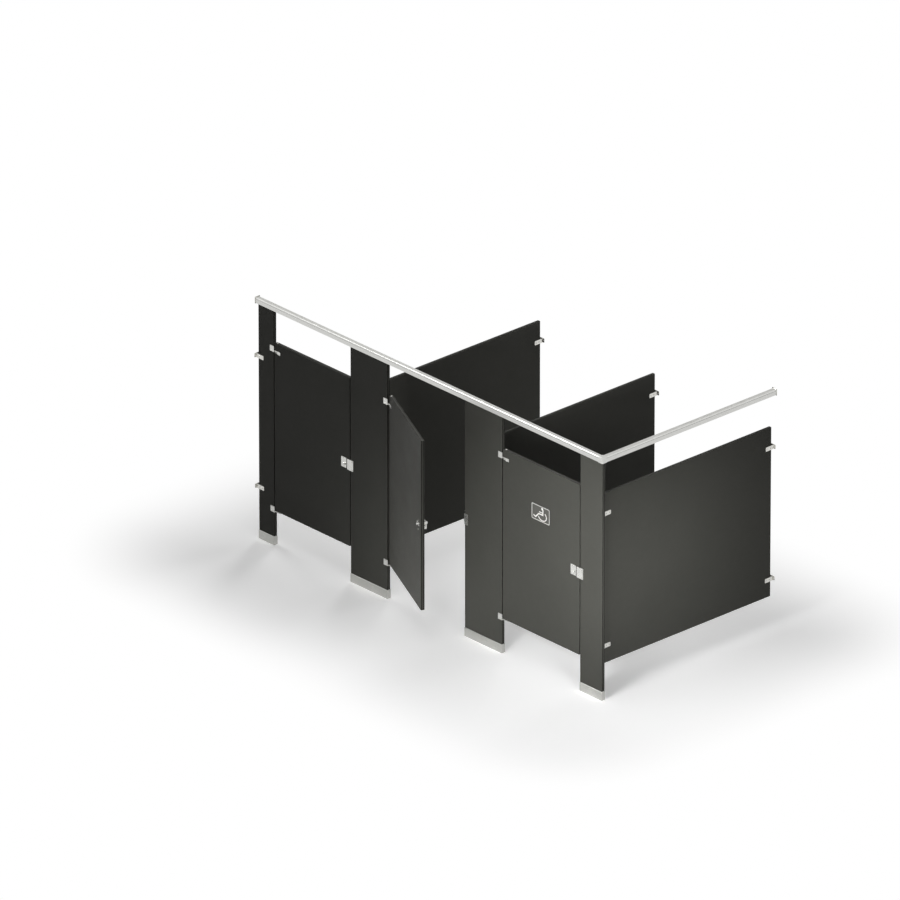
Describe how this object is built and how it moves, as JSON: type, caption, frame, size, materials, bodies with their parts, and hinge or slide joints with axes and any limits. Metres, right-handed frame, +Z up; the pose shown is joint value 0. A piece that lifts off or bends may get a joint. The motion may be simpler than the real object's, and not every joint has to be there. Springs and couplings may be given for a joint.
{
  "type": "bathroom stall partition",
  "caption": "Row of floor-mounted toilet stalls: wide pilasters in shoes, hinged doors with slide latches, side panels on wall brackets, and a headrail round the top.",
  "frame": {"origin": "on the floor, at the middle of the first pilaster's foot, in the middle of the front line's thickness", "axes": "+X along the front line, away from the left wall; +Y back into the stalls; +Z up"},
  "size_m": [4.036, 2.2325, 2.108],
  "materials": {
    "powder_coat": "dark warm grey powder coat, satin, very fine orange peel",
    "paper_core": "raw kraft board",
    "shoe_stainless": "satin stainless steel, brushed along its length",
    "rail_aluminium": "clear anodised extrusion",
    "stainless_fittings": "satin stainless steel",
    "cast_hardware": "satin plated casting",
    "rubber_bumper": "matt black rubber",
    "nylon_bush": "black nylon",
    "sign_plate": null
  },
  "bodies": {
    "fixed_frame": {"pilaster_1": "powder_coat", "pilaster_2": "powder_coat", "pilaster_3": "powder_coat", "pilaster_4": "powder_coat", "pilaster_cores": "paper_core", "shoe_1": "shoe_stainless", "shoe_2": "shoe_stainless", "shoe_3": "shoe_stainless", "shoe_4": "shoe_stainless", "floor_channels": "shoe_stainless", "levelling_bolts": "stainless_fittings", "headrail_front": "rail_aluminium", "headrail_side": "rail_aluminium", "headrail_corner": "rail_aluminium", "headrail_wall_plates": "stainless_fittings", "panel_1": "powder_coat", "panel_2": "powder_coat", "panel_3": "powder_coat", "panel_cores": "paper_core", "pilaster_brackets": "stainless_fittings", "wall_brackets": "stainless_fittings", "through_bolts": "stainless_fittings", "frame_screws": "stainless_fittings", "hinge_brackets": "cast_hardware", "keeper_1": "cast_hardware", "keeper_2": "cast_hardware", "keeper_3": "cast_hardware", "keeper_bumpers": "rubber_bumper"},
    "door_leaf_1": {"door_1": "powder_coat", "door_1_core": "paper_core", "top_pin_1": "stainless_fittings", "top_insert_1": "stainless_fittings", "bottom_bush_1": "nylon_bush", "latch_case_1": "cast_hardware", "latch_plate_1": "cast_hardware", "door_bolts_1": "stainless_fittings"},
    "latch_slide_1": {"latch_bolt_1": "cast_hardware", "latch_knob_1": "cast_hardware"},
    "door_leaf_2": {"door_2": "powder_coat", "door_2_core": "paper_core", "top_pin_2": "stainless_fittings", "top_insert_2": "stainless_fittings", "bottom_bush_2": "nylon_bush", "latch_case_2": "cast_hardware", "latch_plate_2": "cast_hardware", "door_bolts_2": "stainless_fittings"},
    "latch_slide_2": {"latch_bolt_2": "cast_hardware", "latch_knob_2": "cast_hardware"},
    "door_leaf_3": {"door_3": "powder_coat", "door_3_core": "paper_core", "top_pin_3": "stainless_fittings", "top_insert_3": "stainless_fittings", "bottom_bush_3": "nylon_bush", "latch_case_3": "cast_hardware", "latch_plate_3": "cast_hardware", "door_bolts_3": "stainless_fittings", "door_sign": "sign_plate"},
    "latch_slide_3": {"latch_bolt_3": "cast_hardware", "latch_knob_3": "cast_hardware"}
  },
  "joints": [
    {"name": "door_1_swing", "type": "hinge", "parent": "fixed_frame", "child": "door_leaf_1", "pos_m": [0.125, 0, 0.305], "axis": [0, 0, 1], "range_deg": [0, 90]},
    {"name": "latch_1_slide", "type": "slide", "parent": "door_leaf_1", "child": "latch_slide_1", "axis": [1, 0, 0], "range_m": [0, 0.02]},
    {"name": "door_2_swing", "type": "hinge", "parent": "fixed_frame", "child": "door_leaf_2", "pos_m": [1.457, 0, 0.305], "axis": [0, 0, 1], "range_deg": [-64, 26]},
    {"name": "latch_2_slide", "type": "slide", "parent": "door_leaf_2", "child": "latch_slide_2", "axis": [0.8988, -0.4384, 0], "range_m": [0, 0.02]},
    {"name": "door_3_swing", "type": "hinge", "parent": "fixed_frame", "child": "door_leaf_3", "pos_m": [2.789, 0, 0.305], "axis": [0, 0, 1], "range_deg": [0, 90]},
    {"name": "latch_3_slide", "type": "slide", "parent": "door_leaf_3", "child": "latch_slide_3", "axis": [1, 0, 0], "range_m": [0, 0.02]}
  ]
}
